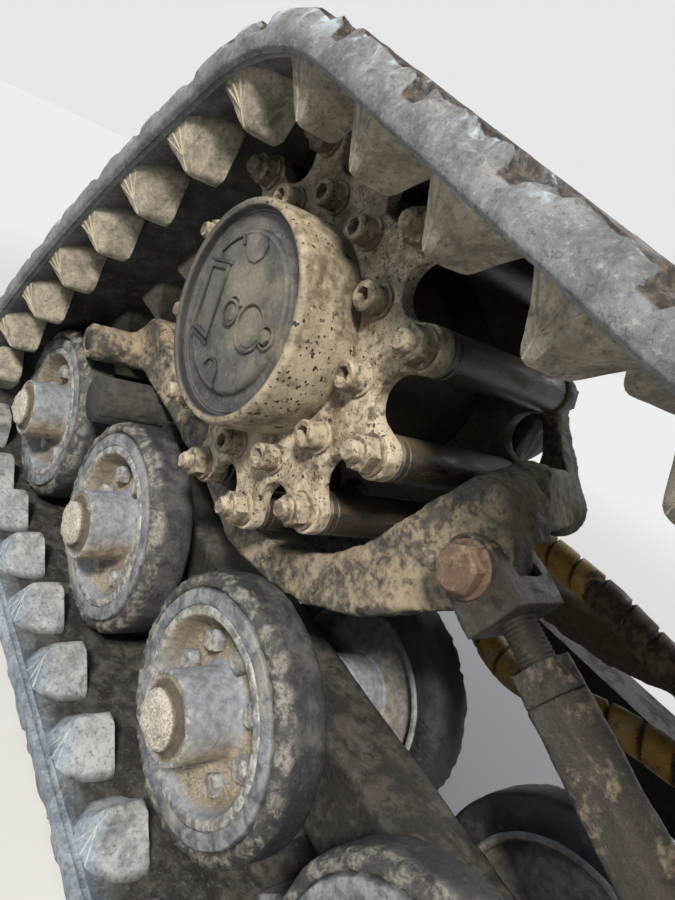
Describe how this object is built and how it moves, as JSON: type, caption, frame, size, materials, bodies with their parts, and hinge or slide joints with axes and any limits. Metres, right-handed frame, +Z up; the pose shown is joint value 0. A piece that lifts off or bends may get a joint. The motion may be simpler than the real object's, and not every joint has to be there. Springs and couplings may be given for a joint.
{
  "type": "rubber track undercarriage",
  "caption": "Right-hand rubber track undercarriage with raised drive sprocket, rubber-tyred rollers on a rail, cast drive table and turnbuckle.",
  "frame": {"origin": "on the ground under the middle of the unit's bounding box", "axes": "+X forward along the track, +Y inboard towards the machine, +Z up"},
  "size_m": [2.3921, 0.521, 0.7167],
  "materials": {
    "cap_steel": "oily, worn",
    "frame_steel": "dusty, worn",
    "hose_guard": "dusty",
    "link_steel": "rusty, dusty",
    "motor_steel": "oily, dusty",
    "pin_steel": "worn",
    "roller_steel": "oily, scored",
    "sprocket_steel": "caked with dry dust, oil spots",
    "table_casting": "rust and dried mud",
    "track_rubber": "dusty, worn",
    "tyre_rubber": "dusty, cracked",
    "wheel_steel": "dusty, chipped"
  },
  "bodies": {
    "undercarriage": {"axle_saddle_front": "frame_steel", "axle_saddle_rear": "frame_steel", "drive_hoses": "hose_guard", "drive_motor": "motor_steel", "drive_table": "table_casting", "front_idler_axle": "wheel_steel", "front_idler_tyres": "tyre_rubber", "hose_bracket": "frame_steel", "main_rail": "frame_steel", "mount_flange_front": "frame_steel", "mount_flange_rear": "frame_steel", "mount_rail": "frame_steel", "rear_idler_axle": "wheel_steel", "rear_idler_tyres": "tyre_rubber", "roller_1_axle": "wheel_steel", "roller_1_tyres": "tyre_rubber", "roller_2_axle": "wheel_steel", "roller_2_tyres": "tyre_rubber", "roller_3_axle": "wheel_steel", "roller_3_tyres": "tyre_rubber", "roller_4_axle": "wheel_steel", "roller_4_tyres": "tyre_rubber", "roller_5_axle": "wheel_steel", "roller_5_tyres": "tyre_rubber", "roller_6_axle": "wheel_steel", "roller_6_tyres": "tyre_rubber", "table_pivot_bracket": "frame_steel", "table_pivot_pin": "frame_steel", "torsion_axle_front": "frame_steel", "torsion_axle_rear": "frame_steel", "track": "track_rubber", "turnbuckle_anchor": "link_steel", "turnbuckle_body": "link_steel", "turnbuckle_front_bolt": "link_steel", "turnbuckle_front_fork": "link_steel", "turnbuckle_front_screw": "link_steel", "turnbuckle_jam_nut": "link_steel", "turnbuckle_rear_bolt": "link_steel", "turnbuckle_rear_fork": "link_steel", "turnbuckle_rear_screw": "link_steel"},
    "sprocket": {"sprocket_drum": "sprocket_steel", "sprocket_hub_cap": "cap_steel", "sprocket_inner_plate": "sprocket_steel", "sprocket_outer_plate": "sprocket_steel", "sprocket_pins": "pin_steel", "sprocket_rollers": "roller_steel"}
  },
  "joints": [
    {"name": "sprocket_spin", "type": "hinge", "parent": "undercarriage", "child": "sprocket", "pos_m": [-0.58605, -0.057, 0.4908], "axis": [0, 1, 0], "continuous": true}
  ]
}
